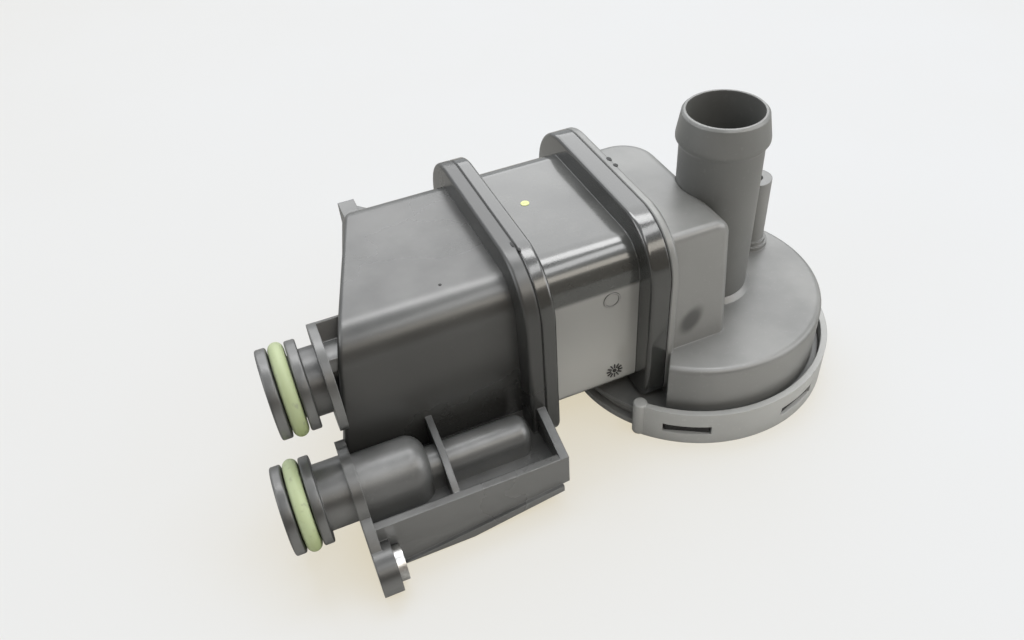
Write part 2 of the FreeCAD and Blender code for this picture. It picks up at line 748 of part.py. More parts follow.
def hooks():
    """Return the snap hooks that hang from the drum's rim into the cap's windows."""
    play_deg = math.degrees(CLEARANCE / SKIRT_INNER)
    half = WINDOW_WIDTH_DEG / 2 - play_deg
    high = WINDOW_LOW_Z + WINDOW_HEIGHT - CLEARANCE
    low = high - HOOK_HEIGHT
    found = []
    for angle in window_angles():
        stem = sector(angle - half, angle + half, RIM_RADIUS, low, RIM_TOP_Z)
        nose = sector(angle - half, angle + half, RIM_RADIUS + HOOK, low, high)
        inside = disc(BEAD_OUTER + 2 * CLEARANCE + WALL / 2, low, RIM_Z)
        found.append(stem.fuse(nose).cut(inside))
    return found


def right_shell():
    """Return the right shell: flange, box, drum, pipe foot and boss in one moulding."""
    outside = right_box(0.0).multiFuse([
        flange_half(SEAM_2_X, FLANGE_2_RIGHT, SEAM_2_X),
        drum(),
        side_boss(),
    ] + hooks())
    inside = right_box(WALL).fuse(drum_chamber())
    passage = OPENING.bar(SEAM_2_X, FLANGE_2_RIGHT)
    pipe_room = disc(TUBE_RADIUS + JOIN_PLAY, DRUM_TOP_Z, TUBE_TOP_Z, TUBE_X)
    solid = outside.cut(inside).cut(passage).cut(pipe_room).fuse(tube_foot()).fuse(seat_pipe())
    foot_bore = disc(TUBE_BORE, PORT_Z - CLEARANCE, FOOT_TOP_Z, TUBE_X)
    seat_bore = disc(SEAT_BORE, SEAT_Z, PORT_Z)
    boss_hole = disc(BOSS_HOLE, BOSS_TOP_Z - BOSS_HOLE_DEPTH, BOSS_TOP_Z, BOSS_X, BOSS_Y)
    return one_solid(solid.cut(foot_bore).cut(seat_bore).cut(boss_hole))


def valve_cap():
    """Return the cap that clips under the drum."""
    skirt = sector(CAP_SKIRT_START_DEG, CAP_SKIRT_END_DEG, SKIRT_OUTER, 0.0, CAP_SKIRT_TOP_Z)
    skirt = skirt.cut(disc(SKIRT_INNER, CAP_BASE, CAP_SKIRT_TOP_Z))
    rim_inner = BEAD_OUTER - BEAD_WIDTH
    cap = skirt.multiFuse([
        disc(CAP_BASE_RADIUS, 0.0, CAP_BASE),
        ring(rim_inner, BEAD_OUTER + CLEARANCE, CAP_BASE, BEAD_Z),
        ring(STOP_RADIUS - STOP_WALL, STOP_RADIUS, CAP_BASE, CAP_BASE + STOP_HEIGHT),
    ])
    half = WINDOW_WIDTH_DEG / 2
    window_top = WINDOW_LOW_Z + WINDOW_HEIGHT
    for angle in window_angles():
        window = sector(angle - half, angle + half, 2 * SKIRT_OUTER, WINDOW_LOW_Z, window_top)
        cap = cap.cut(window.cut(disc(SKIRT_INNER - CLEARANCE, WINDOW_LOW_Z, window_top)))
    return one_solid(cap.cut(disc(VENT_RADIUS, 0.0, CAP_BASE, VENT_X)))


def diaphragm():
    """Return the dished rubber diaphragm with its clamped outer bead."""
    bead_inner = BEAD_OUTER - BEAD_WIDTH
    roll = (bead_inner - PLATE_RADIUS) / 3
    bead_mid = BEAD_Z + BEAD_HEIGHT / 2
    low = MEMBRANE_Z
    return turned([
        (0.0, low),
        (PLATE_RADIUS + roll, low),
        (bead_inner, bead_mid - MEMBRANE / 2),
        (bead_inner, BEAD_Z),
        (BEAD_OUTER, BEAD_Z),
        (BEAD_OUTER, RIM_Z),
        (bead_inner, RIM_Z),
        (bead_inner, bead_mid + MEMBRANE / 2),
        (PLATE_RADIUS + roll, low + MEMBRANE),
        (0.0, low + MEMBRANE),
    ])


def diaphragm_plate():
    """Return the stiff plate on the diaphragm, with a ring that keeps the spring in place."""
    keeper = SPRING_RADIUS + SPRING_WIRE / 2 + CLEARANCE
    plate = disc(PLATE_RADIUS, PLATE_Z, PLATE_TOP_Z)
    return one_solid(plate.fuse(ring(keeper, keeper + PLATE, PLATE_TOP_Z, PLATE_TOP_Z + PLATE)))


def valve_spring():
    """Return the coil spring between the plate and the seat's collar."""
    low = PLATE_TOP_Z + CLEARANCE + SPRING_WIRE / 2
    high = COLLAR_Z - CLEARANCE - SPRING_WIRE / 2
    pitch = (high - low) / SPRING_TURNS
    helix = Part.makeHelix(pitch, high - low, SPRING_RADIUS)
    helix.translate(Vector(0, 0, low))
    start = Vector(SPRING_RADIUS, 0, low)
    section = Part.Wire(Part.makeCircle(SPRING_WIRE / 2, start, Vector(0, 1, 0)))
    return Part.Wire(helix).makePipeShell([section], True, True)


def export_nodes():
    """Write one file for each piece."""
    nodes = {
        "left_shell": left_shell(),
        "middle_shell": middle_shell(),
        "right_shell": right_shell(),
        "outlet_pipe": outlet_pipe(),
        "valve_cap": valve_cap(),
        "nozzle_plate": nozzle_plate(),
        "impact_plate": impact_plate(),
        "diaphragm": diaphragm(),
        "diaphragm_plate": diaphragm_plate(),
        "valve_spring": valve_spring(),
        "upper_o_ring": ring_seal(UPPER_TIP_X, UPPER_Y, UPPER_Z),
        "lower_o_ring": ring_seal(LOWER_TIP_X, LOWER_Y, LOWER_Z),
        "lug_bush": lug_bush(),
    }
    os.makedirs("parts", exist_ok=True)
    for name, shape in nodes.items():
        print(name, len(shape.Solids), "solid, valid:", shape.isValid(), "volume:", round(shape.Volume, 1))
        shape.exportStep(os.path.join("parts", name + ".step"))


export_nodes()
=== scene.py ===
"""Crankcase oil separator: finishes, small moulded details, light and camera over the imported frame."""

import logging
import math
from dataclasses import dataclass
from enum import Enum
from functools import cache
from typing import Any, Callable, Mapping, Optional, Union

import bmesh
import bpy
from mathutils import Matrix, Vector


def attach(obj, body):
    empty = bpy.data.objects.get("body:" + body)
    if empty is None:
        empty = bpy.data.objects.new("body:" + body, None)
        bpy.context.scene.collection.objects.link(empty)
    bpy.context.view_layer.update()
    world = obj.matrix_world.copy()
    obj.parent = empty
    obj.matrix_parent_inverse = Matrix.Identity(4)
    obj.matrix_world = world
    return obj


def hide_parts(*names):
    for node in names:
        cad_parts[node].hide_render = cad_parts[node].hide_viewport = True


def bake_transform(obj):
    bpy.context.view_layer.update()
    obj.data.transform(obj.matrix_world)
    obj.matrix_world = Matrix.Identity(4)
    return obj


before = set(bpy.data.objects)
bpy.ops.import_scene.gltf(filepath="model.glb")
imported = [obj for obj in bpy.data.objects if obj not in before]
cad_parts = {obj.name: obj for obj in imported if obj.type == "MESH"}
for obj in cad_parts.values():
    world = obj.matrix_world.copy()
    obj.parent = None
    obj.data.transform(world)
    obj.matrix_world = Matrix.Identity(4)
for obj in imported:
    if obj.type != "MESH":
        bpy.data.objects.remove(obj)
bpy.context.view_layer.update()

log = logging.getLogger("oil_separator")

Colour = tuple[float, float, float]
Place = tuple[float, float, float]

# Sizes and places are in millimetres of the part's frame, and MM turns them into metres.
MM = 0.001
NEAR = 1e-6
FIRST_SEAM_X = -64.7
SECOND_SEAM_X = -24.6
MIDDLE_FRONT_Y = -18.5
FLANGE_TOP_Z = 72.2
SHELL_ANGLE = 32.0
DETAIL_ANGLE = 40.0


class Body(Enum):
    """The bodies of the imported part."""

    HOUSING = "housing"
    VALVE_PLATE = "valve_plate"


class Slot(Enum):
    """The record's material slots that the new pieces are built with, though none is applied to them."""

    HOUSING = "housing_plastic"
    GLOSS = "gloss_housing"
    SEAL = "seal_rubber"
    BUSH = "bush_steel"
    SPRING = "spring_steel"


class Side(Enum):
    """Faces of the welded box that carry small details."""

    TOP = "top"
    FRONT = "front"


class Axis(Enum):
    """The parts of a vector."""

    X = 0
    Y = 1
    Z = 2


@dataclass(frozen=True)
class Signal:
    """An output socket of a node tree, with arithmetic that adds Math nodes."""

    tree: bpy.types.NodeTree
    socket: bpy.types.NodeSocket

    def math(self, operation: str, first: Any, second: Any) -> "Signal":
        """Add a Math node.

        Args:
            operation: The Math node's operation.
            first: A signal or number for the first value.
            second: A signal or number for the second value.

        Returns:
            The node's result.
        """
        return make_node(self.tree, "ShaderNodeMath", {"operation": operation}, {0: first, 1: second})

    def __add__(self, other: Any) -> "Signal":
        """Return this signal plus another."""
        return self.math("ADD", self, other)

    def __radd__(self, other: Any) -> "Signal":
        """Return a number plus this signal."""
        return self.math("ADD", other, self)

    def __sub__(self, other: Any) -> "Signal":
        """Return this signal minus another."""
        return self.math("SUBTRACT", self, other)

    def __rsub__(self, other: Any) -> "Signal":
        """Return a number minus this signal."""
        return self.math("SUBTRACT", other, self)

    def __mul__(self, other: Any) -> "Signal":
        """Return this signal times another."""
        return self.math("MULTIPLY", self, other)

    def __rmul__(self, other: Any) -> "Signal":
        """Return a number times this signal."""
        return self.math("MULTIPLY", other, self)

    def ramp(self, low: float, high: float) -> "Signal":
        """Return this signal spread from 0 at low to 1 at high, smooth and clamped."""
        settings = {"interpolation_type": "SMOOTHSTEP"}
        inputs = {0: self, 1: low, 2: high, 3: 0.0, 4: 1.0}
        return make_node(self.tree, "ShaderNodeMapRange", settings, inputs)

    def tint(self, dark: Any, light: Any) -> "Signal":
        """Return the mix of two colours by this signal.

        Args:
            dark: The colour, or colour signal, where this signal is 0.
            light: The colour, or colour signal, where this signal is 1.

        Returns:
            The mixed colour.
        """
        settings = {"data_type": "RGBA"}
        return make_node(self.tree, "ShaderNodeMix", settings, {0: self, 6: dark, 7: light}, 2)

    def part(self, axis: Axis) -> "Signal":
        """Return one part of this vector signal."""
        return make_node(self.tree, "ShaderNodeSeparateXYZ", {}, {0: self}, axis.value)

    def noise(self, scale: float, detail: float, rough: float = 0.5) -> "Signal":
        """Return a noise pattern on this signal's coordinates.

        Args:
            scale: Features per metre.
            detail: Octaves of detail.
            rough: How strong the fine octaves are.

        Returns:
            The noise value.
        """
        inputs = {"Vector": self, "Scale": scale, "Detail": detail, "Roughness": rough}
        return make_node(self.tree, "ShaderNodeTexNoise", {"noise_dimensions": "3D"}, inputs)


def make_node(
    tree: bpy.types.NodeTree,
    kind: str,
    settings: Mapping[str, Any],
    inputs: Mapping[Union[int, str], Any],
    output: Union[int, str] = 0,
) -> Signal:
    """Add any node to a tree.

    Args:
        tree: The material's node tree.
        kind: The node's type.
        settings: Properties that are set first.
        inputs: Values or signals by socket index or name.
        output: Which output socket comes back.

    Returns:
        The output as a signal.
    """
    node = tree.nodes.new(kind)
    for name, value in settings.items():
        setattr(node, name, value)
    for key, value in inputs.items():
        if isinstance(value, Signal):
            tree.links.new(value.socket, node.inputs[key])
        elif isinstance(value, tuple) and node.inputs[key].type == "RGBA":
            node.inputs[key].default_value = (*value, 1.0)
        else:
            node.inputs[key].default_value = value
    return Signal(tree, node.outputs[output])


def shaded(colour: Colour, factor: float) -> Colour:
    """Return a colour times a factor."""
    return tuple(value * factor for value in colour)


def bump(tree: bpy.types.NodeTree, strength: float, distance: float, height: Signal) -> Signal:
    """Return a bumped normal.

    Args:
        tree: The node tree.
        strength: How strong the bump is.
        distance: The bump's height, in millimetres.
        height: The pattern.

    Returns:
        The normal.
    """
    inputs = {"Strength": strength, "Distance": distance * MM, "Height": height}
    return make_node(tree, "ShaderNodeBump", {}, inputs)


@dataclass(frozen=True)
class Finish:
    """A finish that is made into a material once."""

    name: str

    @cache
    def material(self) -> bpy.types.Material:
        """Return the finish as a material."""
        material = bpy.data.materials.new(self.name)
        material.use_nodes = True
        tree = material.node_tree
        tree.nodes.clear()
        shader = self.shader(tree, make_node(tree, "ShaderNodeTexCoord", {}, {}, "Object"))
        output = tree.nodes.new("ShaderNodeOutputMaterial")
        tree.links.new(shader.socket, output.inputs["Surface"])
        return material

    def shader(self, tree: bpy.types.NodeTree, where: Signal) -> Signal:
        """Return the finish's shader.

        Args:
            tree: The material's node tree.
            where: The Object coordinates, in metres.

        Returns:
            The shader.
        """
        raise NotImplementedError


@dataclass(frozen=True)
class SmudgeAndReflection:
    """A slanting greasy mark on a face that looks ahead, darkened partly as a painted dark reflection."""

    place: Place
    size: Place
    lean_deg: float
    strength: float = 0.75

    def mask(self, where: Signal, cloud: Signal) -> Signal:
        """Return how strong the mark is.

        Args:
            where: The coordinates.
            cloud: The pattern that frays the mark's edge.

        Returns:
            The mask.
        """
        inputs = {
            "Vector": where,
            "Location": shaded(self.place, MM),
            "Rotation": (0.0, math.radians(self.lean_deg), 0.0),
            "Scale": shaded(self.size, MM),
        }
        local = make_node(where.tree, "ShaderNodeMapping", {"vector_type": "TEXTURE"}, inputs)
        away = make_node(where.tree, "ShaderNodeVectorMath", {"operation": "LENGTH"}, {0: local}, "Value")
        mark_falloff = (away + (cloud - 0.5) * 0.5).ramp(0.40, 1.0)
        return self.strength - mark_falloff * self.strength


@dataclass(frozen=True)
class MouldedPlastic(Finish):
    """Glass-filled moulded plastic with grain, cloudy sheen, dust on tops, rubbed edges with a painted
    glint, and a painted sheen on faces that look ahead.
    """

    dark: Colour
    light: Colour
    dust_and_sheen: Colour
    rough_low: float
    rough_high: float
    dusty: float = 0.35
    coat: float = 0.0
    # How far faces that look ahead are tinted toward the dust colour: a painted sheen.
    front: float = 0.0
    # The height in millimetres where the painted sheen on the front stops. The darker plain plastic above it
    # stands in as a painted dark reflection.
    painted_sheen_top: Optional[float] = None
    # X limits of flange bands that are kept free of dust and painted sheen and tinted toward the dark
    # colour. This is partly the flanges' cleaner plastic and partly a painted dark reflection.
    bands: tuple[tuple[float, float], ...] = ()
    smudge_and_reflection: Optional[SmudgeAndReflection] = None
    edge_radius: float = 0.5
    grain: float = 0.10
    index: float = 1.8
    coat_rough: float = 0.12

    def shader(self, tree: bpy.types.NodeTree, where: Signal) -> Signal:
        """Return the finish's shader.

        Args:
            tree: The material's node tree.
            where: The Object coordinates, in metres.

        Returns:
            The shader.
        """
        cloud = where.noise(55.0, 4.0)
        patch = where.noise(16.0, 2.0)
        grain = where.noise(2600.0, 3.0, 0.6)
        fleck = where.noise(900.0, 2.0).ramp(0.62, 0.74)
        rounded = make_node(tree, "ShaderNodeBevel", {"samples": 6}, {"Radius": self.edge_radius * MM})
        flat = make_node(tree, "ShaderNodeNewGeometry", {}, {}, "Normal")
        settings = {"operation": "DOT_PRODUCT"}
        even = make_node(tree, "ShaderNodeVectorMath", settings, {0: rounded, 1: flat}, "Value")
        # Edges are tinted toward the dust colour where the cloud allows. This is partly rubbed wear and
        # partly a painted edge glint.
        rubbed_and_glint = (1.0 - even).ramp(0.02, 0.30) * cloud.ramp(0.30, 0.62)
        plastic = (cloud * 0.7 + fleck * 0.3).tint(self.dark, self.light)
        worn_and_glint = (rubbed_and_glint * 0.45).tint(plastic, self.dust_and_sheen)
        colour = self.add_dust_and_sheen(where, flat, cloud, worn_and_glint)
        # The smudge darkens the colour toward a fifth of the dark tone. It is partly a greasy mark and
        # partly a painted dark reflection.
        if self.smudge_and_reflection:
            colour = self.smudge_and_reflection.mask(where, cloud).tint(colour, shaded(self.dark, 0.2))
        spread = self.rough_high - self.rough_low
        height = grain * 0.6 + fleck * 0.4
        relief = {"Strength": self.grain, "Distance": 0.1 * MM, "Height": height, "Normal": rounded}
        inputs = {
            "Base Color": colour,
            "Roughness": patch.ramp(0.3, 0.7) * (spread * 0.6) + cloud * (spread * 0.4) + self.rough_low,
            "Normal": make_node(tree, "ShaderNodeBump", {}, relief),
            "IOR": self.index,
            "Coat Weight": self.coat,
            "Coat Roughness": self.coat_rough,
        }
        return make_node(tree, "ShaderNodeBsdfPrincipled", {}, inputs)

    def add_dust_and_sheen(self, where: Signal, flat: Signal, cloud: Signal, worn_and_glint: Signal) -> Signal:
        """Return the colour with dust on the faces that look up, a painted sheen on the faces that look
        ahead, and the flange bands kept clean and darkened.

        Args:
            where: The coordinates.
            flat: The surface's normal.
            cloud: The pattern in which the dust lies.
            worn_and_glint: The colour below the dust.

        Returns:
            The colour.
        """
        settled = flat.part(Axis.Z).ramp(0.55, 1.0) * cloud.ramp(0.25, 0.75) * self.dusty
        # Faces that look ahead take the painted sheen.
        facing = (0.0 - flat.part(Axis.Y)).ramp(0.80, 0.99)
        if not self.bands:
            return settled.tint(self.front_painted_sheen(where, facing, worn_and_glint), self.dust_and_sheen)
        # Flange bands: no dust or painted sheen, and a tint toward the dark colour that is partly a painted
        # dark reflection.
        band = self.band_mask(where)
        sheen = self.front_painted_sheen(where, facing * (1.0 - band), worn_and_glint)
        return (settled * (1.0 - band)).tint((band * 0.85).tint(sheen, self.dark), self.dust_and_sheen)

    def front_painted_sheen(self, where: Signal, facing: Signal, worn_and_glint: Signal) -> Signal:
        """Return the colour with a painted sheen, in the dust colour, on the faces that look ahead.

        Args:
            where: The coordinates.
            facing: How far a face looks ahead.
            worn_and_glint: The colour below the dust.

        Returns:
            The colour. With an upper limit, the painted sheen is paler low down and stops above the limit.
        """
        # Painted sheen: faces that look ahead are tinted toward the dust colour, paler towards the bottom
        # and stopping at the upper limit.
        if self.painted_sheen_top is None:
            return (facing * self.front).tint(worn_and_glint, self.dust_and_sheen)
        high = where.part(Axis.Z)
        fade = 0.9
        sheen_zone = 1.0 - high.ramp((self.painted_sheen_top - fade) * MM, (self.painted_sheen_top + fade) * MM)
        painted_sheen_colour = high.ramp(16.0 * MM, 52.0 * MM).tint(shaded(self.dust_and_sheen, 1.7), self.dust_and_sheen)
        return (facing * sheen_zone * self.front).tint(worn_and_glint, painted_sheen_colour)

    def band_mask(self, where: Signal) -> Signal:
        """Return 1 between the X limits of each darkened flange band, behind the bracket's trough, and 0
        elsewhere.

        Args:
            where: The coordinates.

        Returns:
            The mask.
        """
        along = where.part(Axis.X)
        fade = 0.2
        mask = along * 0.0
        for low, high in self.bands:
            start = along.ramp((low - fade) * MM, low * MM)
            mask = mask + start * (1.0 - along.ramp(high * MM, (high + fade) * MM))
        return mask * where.part(Axis.Y).ramp(-26.2 * MM, -25.6 * MM)


@dataclass(frozen=True)
class SealRubber(Finish):
    """Pale green ring rubber, darker and yellower towards the bottom, with flecks of grime."""

    upper_tone: Colour
    lower_tone: Colour
    middle_z: float
    span: float = 12.0
    grime: Colour = (0.20, 0.21, 0.16)

    def shader(self, tree: bpy.types.NodeTree, where: Signal) -> Signal:
        """Return the finish's shader.

        Args:
            tree: The material's node tree.
            where: The Object coordinates, in metres.

        Returns:
            The shader.
        """
        cloud = where.noise(240.0, 4.0)
        # The ring is darker and yellower towards the bottom.
        height = where.part(Axis.Z) + (cloud - 0.5) * (6.0 * MM)
        high = height.ramp((self.middle_z - self.span) * MM, (self.middle_z + self.span) * MM)
        dirt = where.noise(500.0, 3.0).ramp(0.58, 0.75) * 0.5
        inputs = {
            "Base Color": dirt.tint(high.tint(self.lower_tone, self.upper_tone), self.grime),
            "Roughness": cloud * 0.2 + 0.38,
            "Normal": bump(tree, 0.12, 0.2, where.noise(1500.0, 2.0)),
        }
        return make_node(tree, "ShaderNodeBsdfPrincipled", {}, inputs)


@dataclass(frozen=True)
class TurnedSteel(Finish):
    """Bright turned steel with fine rings along X."""

    bright: Colour
    dull: Colour
    rough: float

    def shader(self, tree: bpy.types.NodeTree, where: Signal) -> Signal:
        """Return the finish's shader.

        Args:
            tree: The material's node tree.
            where: The Object coordinates, in metres.

        Returns:
            The shader.
        """
        ring = {"W": where.part(Axis.X), "Scale": 5200.0}
        rings = make_node(tree, "ShaderNodeTexNoise", {"noise_dimensions": "1D"}, ring)
        stain = where.noise(420.0, 4.0)
        inputs = {
            "Base Color": stain.ramp(0.35, 0.65).tint(self.dull, self.bright),
            "Metallic": 1.0,
            "Roughness": stain * 0.2 + self.rough,
            "Normal": bump(tree, 0.2, 0.1, rings),
        }
        return make_node(tree, "ShaderNodeBsdfPrincipled", {}, inputs)


@dataclass(frozen=True)
class SpotPaint(Finish):
    """A dab of paint or dirt."""

    thick: Colour
    thin: Colour
    rough: float

    def shader(self, tree: bpy.types.NodeTree, where: Signal) -> Signal:
        """Return the finish's shader.

        Args:
            tree: The material's node tree.
            where: The Object coordinates, in metres.

        Returns:
            The shader.
        """
        cloud = where.noise(1400.0, 3.0)
        inputs = {
            "Base Color": cloud.ramp(0.35, 0.65).tint(self.thin, self.thick),
            "Roughness": cloud * 0.2 + self.rough,
            "Normal": bump(tree, 0.3, 0.2, cloud),
        }
        return make_node(tree, "ShaderNodeBsdfPrincipled", {}, inputs)


@dataclass(frozen=True)
class TableTop(Finish):
    """The pale table under the part: even and pale to the eye, with a soft warm shadow."""

    lit: Colour
    shade: Colour
    even: float
    bounce: Colour = (0.88, 0.87, 0.84)
    mirrored: Colour = (0.28, 0.275, 0.26)

    def shader(self, tree: bpy.types.NodeTree, where: Signal) -> Signal:
        """Return the finish's shader.

        Args:
            tree: The material's node tree.
            where: The Object coordinates, in metres.

        Returns:
            The shader.
        """
        cloud = where.noise(9.0, 3.0).ramp(0.3, 0.7)
        inputs = {"Base Color": cloud.tint(shaded(self.lit, 0.97), self.lit), "Roughness": 0.7}
        top = make_node(tree, "ShaderNodeBsdfPrincipled", {}, inputs)
        glow = make_node(tree, "ShaderNodeEmission", {}, {"Color": self.shade, "Strength": 1.0})
        eyed = make_node(tree, "ShaderNodeMixShader", {}, {0: self.even, 1: top, 2: glow})
        seen = make_node(tree, "ShaderNodeLightPath", {}, {}, "Is Camera Ray")
        glossy = make_node(tree, "ShaderNodeLightPath", {}, {}, "Is Glossy Ray")
        thrown = {"Color": glossy.tint(self.bounce, self.mirrored)}
        bounced = make_node(tree, "ShaderNodeBsdfDiffuse", {}, thrown)
        return make_node(tree, "ShaderNodeMixShader", {}, {0: seen, 1: bounced, 2: eyed})


# The left box's copy of the left shell's plastic, darker than the bracket's copy of the same plastic:
# painted shade.
SHELL_PLASTIC_PAINTED_SHADE = MouldedPlastic(
    "shell_plastic_painted_shade",
    dark=(0.018, 0.0185, 0.0175),
    light=(0.045, 0.046, 0.044),
    dust_and_sheen=(0.15, 0.15, 0.145),
    rough_low=0.22,
    rough_high=0.38,
    front=0.1,
)
BRACKET_PLASTIC = MouldedPlastic(
    "bracket_plastic",
    dark=(0.024, 0.0245, 0.0235),
    light=(0.065, 0.0665, 0.0645),
    dust_and_sheen=(0.20, 0.203, 0.20),
    rough_low=0.24,
    rough_high=0.40,
    front=0.45,
    bands=((-69.3, -64.0),),
)
# The runs' copy of the left shell's plastic, lighter than the bracket's copy of the same plastic: painted
# light for the sky's reflection on their tops.
RUN_PLASTIC_PAINTED_LIGHT = MouldedPlastic(
    "run_plastic_painted_light",
    dark=(0.06, 0.062, 0.061),
    light=(0.12, 0.123, 0.122),
    dust_and_sheen=(0.24, 0.245, 0.245),
    rough_low=0.30,
    rough_high=0.44,
    dusty=0.6,
)
GLOSS_PLASTIC = MouldedPlastic(
    "gloss_plastic",
    dark=(0.024, 0.025, 0.0235),
    light=(0.066, 0.068, 0.064),
    dust_and_sheen=(0.20, 0.20, 0.19),
    rough_low=0.12,
    rough_high=0.24,
    coat=0.5,
    front=1.0,
    painted_sheen_top=53.5,
    dusty=0.15,
    bands=((-69.3, -60.1), (-31.0, -21.8)),
)
CAP_PLASTIC = MouldedPlastic(
    "cap_plastic",
    dark=(0.26, 0.265, 0.258),
    light=(0.38, 0.385, 0.375),
    dust_and_sheen=(0.42, 0.42, 0.41),
    rough_low=0.34,
    rough_high=0.50,
)
DRUM_PLASTIC = MouldedPlastic(
    "drum_plastic",
    dark=(0.10, 0.102, 0.099),
    light=(0.175, 0.178, 0.172),
    dust_and_sheen=(0.26, 0.26, 0.25),
    rough_low=0.28,
    rough_high=0.44,
    front=0.35,
    smudge_and_reflection=SmudgeAndReflection(place=(-15.4, -22.5, 36.3), size=(6.6, 10.0, 4.2), lean_deg=-49.85),
)
PIPE_PLASTIC = MouldedPlastic(
    "pipe_plastic",
    dark=(0.085, 0.087, 0.083),
    light=(0.145, 0.148, 0.142),
    dust_and_sheen=(0.23, 0.23, 0.22),
    rough_low=0.34,
    rough_high=0.50,
)
INNER_PLASTIC = MouldedPlastic(
    "inner_plastic",
    dark=(0.10, 0.10, 0.105),
    light=(0.17, 0.17, 0.175),
    dust_and_sheen=(0.25, 0.25, 0.25),
    rough_low=0.40,
    rough_high=0.55,
)
DIAPHRAGM_RUBBER = MouldedPlastic(
    "diaphragm_rubber",
    dark=(0.02, 0.02, 0.022),
    light=(0.04, 0.04, 0.042),
    dust_and_sheen=(0.1, 0.1, 0.1),
    rough_low=0.5,
    rough_high=0.65,
)
UPPER_RUBBER = SealRubber("upper_ring_rubber", (0.32, 0.37, 0.21), (0.22, 0.27, 0.095), middle_z=45.0)
LOWER_RUBBER = SealRubber("lower_ring_rubber", (0.37, 0.43, 0.25), (0.25, 0.30, 0.11), middle_z=18.0)
BUSH_STEEL = TurnedSteel("bush_steel", (0.80, 0.80, 0.79), (0.55, 0.55, 0.54), 0.22)
SPRING_STEEL = TurnedSteel("spring_steel", (0.62, 0.62, 0.63), (0.45, 0.45, 0.46), 0.28)
WELD_FLASH = SpotPaint("weld_flash", (0.006, 0.006, 0.006), (0.003, 0.003, 0.003), 0.55)
MARK_PAINT = SpotPaint("mark_paint", (0.62, 0.66, 0.30), (0.45, 0.49, 0.20), 0.4)
# Near-black for specks, the crumb and the dial, and for painted shade in the snap windows, the notches and
# the nick.
DARK_SPECK_AND_SHADE = SpotPaint("dark_speck_and_shade", (0.012, 0.012, 0.012), (0.02, 0.02, 0.02), 0.5)
TABLE_PALE = TableTop("table_pale", lit=(0.40, 0.57, 0.91), shade=(0.90, 0.81, 0.61), even=0.74)


def deselect() -> None:
    """Leave edit mode and clear the selection."""
    if bpy.context.mode != "OBJECT":
        bpy.ops.object.mode_set(mode="OBJECT")
    bpy.ops.object.select_all(action="DESELECT")


def activate(piece: bpy.types.Object) -> None:
    """Select one object and make it the active one."""
    deselect()
    piece.select_set(True)
    bpy.context.view_layer.objects.active = piece


def named(name: str) -> bpy.types.Object:
    """Return the active object under a new name."""
    piece = bpy.context.active_object
    piece.name = name
    piece.data.name = name
    return piece


def settle(piece: bpy.types.Object) -> None:
    """Put an object's place into its mesh."""
    activate(piece)
    bpy.ops.object.transform_apply(location=True, rotation=True, scale=True)


def copied(name: str, mesh: bpy.types.Mesh) -> bpy.types.Object:
    """Return a new object with its own copy of a mesh."""
    piece = bpy.data.objects.new(name, mesh.copy())
    bpy.context.scene.collection.objects.link(piece)
    return piece


def block(name: str, low: Place, high: Place) -> bpy.types.Object:
    """Add a box.

    Args:
        name: The object's name.
        low: The box's low corner, in millimetres.
        high: The box's high corner, in millimetres.

    Returns:
        The box, with its place in its mesh.
    """
    deselect()
    middle = [(a + b) / 2 * MM for a, b in zip(low, high)]
    bpy.ops.mesh.primitive_cube_add(size=1.0, location=middle)
    piece = named(name)
    piece.scale = [(b - a) * MM for a, b in zip(low, high)]
    settle(piece)
    return piece


def apply_modifier(piece: bpy.types.Object, kind: str, settings: Mapping[str, Any]) -> None:
    """Add a modifier and apply it.

    Args:
        piece: The object.
        kind: The modifier's type.
        settings: The modifier's properties.
    """
    activate(piece)
    modifier = piece.modifiers.new(kind.title(), kind)
    for key, value in settings.items():
        setattr(modifier, key, value)
    bpy.ops.object.modifier_apply(modifier=modifier.name)


def soften(piece: bpy.types.Object, width: float, segments: int, limit_deg: float = 30.0) -> None:
    """Bevel all edges that are sharper than a limit.

    Args:
        piece: The object.
        width: The bevel's width, in millimetres.
        segments: The bevel's steps.
        limit_deg: The angle from which an edge is sharp.
    """
    settings = {
        "width": width * MM,
        "segments": segments,
        "limit_method": "ANGLE",
        "angle_limit": math.radians(limit_deg),
    }
    apply_modifier(piece, "BEVEL", settings)


def smooth(piece: bpy.types.Object, angle_deg: float) -> None:
    """Shade a piece smooth, apart from edges that are sharper than the angle."""
    activate(piece)
    bpy.ops.object.shade_smooth_by_angle(angle=math.radians(angle_deg))


def pick(piece: bpy.types.Object, mode: str, test: Callable[[Any], bool]) -> None:
    """Select elements of a mesh in edit mode.

    Args:
        piece: The object, which is put into edit mode.
        mode: VERT, EDGE or FACE.
        test: Says of each vertex, edge or face whether it is taken.
    """
    activate(piece)
    bpy.ops.object.mode_set(mode="EDIT")
    bpy.ops.mesh.select_mode(type=mode)
    bpy.ops.mesh.select_all(action="DESELECT")
    mesh = bmesh.from_edit_mesh(piece.data)
    elements = {"VERT": mesh.verts, "EDGE": mesh.edges, "FACE": mesh.faces}[mode]
    for element in elements:
        element.select_set(test(element))
    mesh.select_flush_mode()
    bmesh.update_edit_mesh(piece.data)


def round_edges(piece: bpy.types.Object, radius: float, segments: int, test: Callable[[Any], bool]) -> None:
    """Round some edges of a piece.

    Args:
        piece: The object.
        radius: The bevel's offset, in millimetres.
        segments: The bevel's steps.
        test: Says of each edge whether it is rounded.
    """
    pick(piece, "EDGE", test)
    bpy.ops.mesh.bevel(offset=radius * MM, segments=segments, affect="EDGES")
    bpy.ops.object.mode_set(mode="OBJECT")


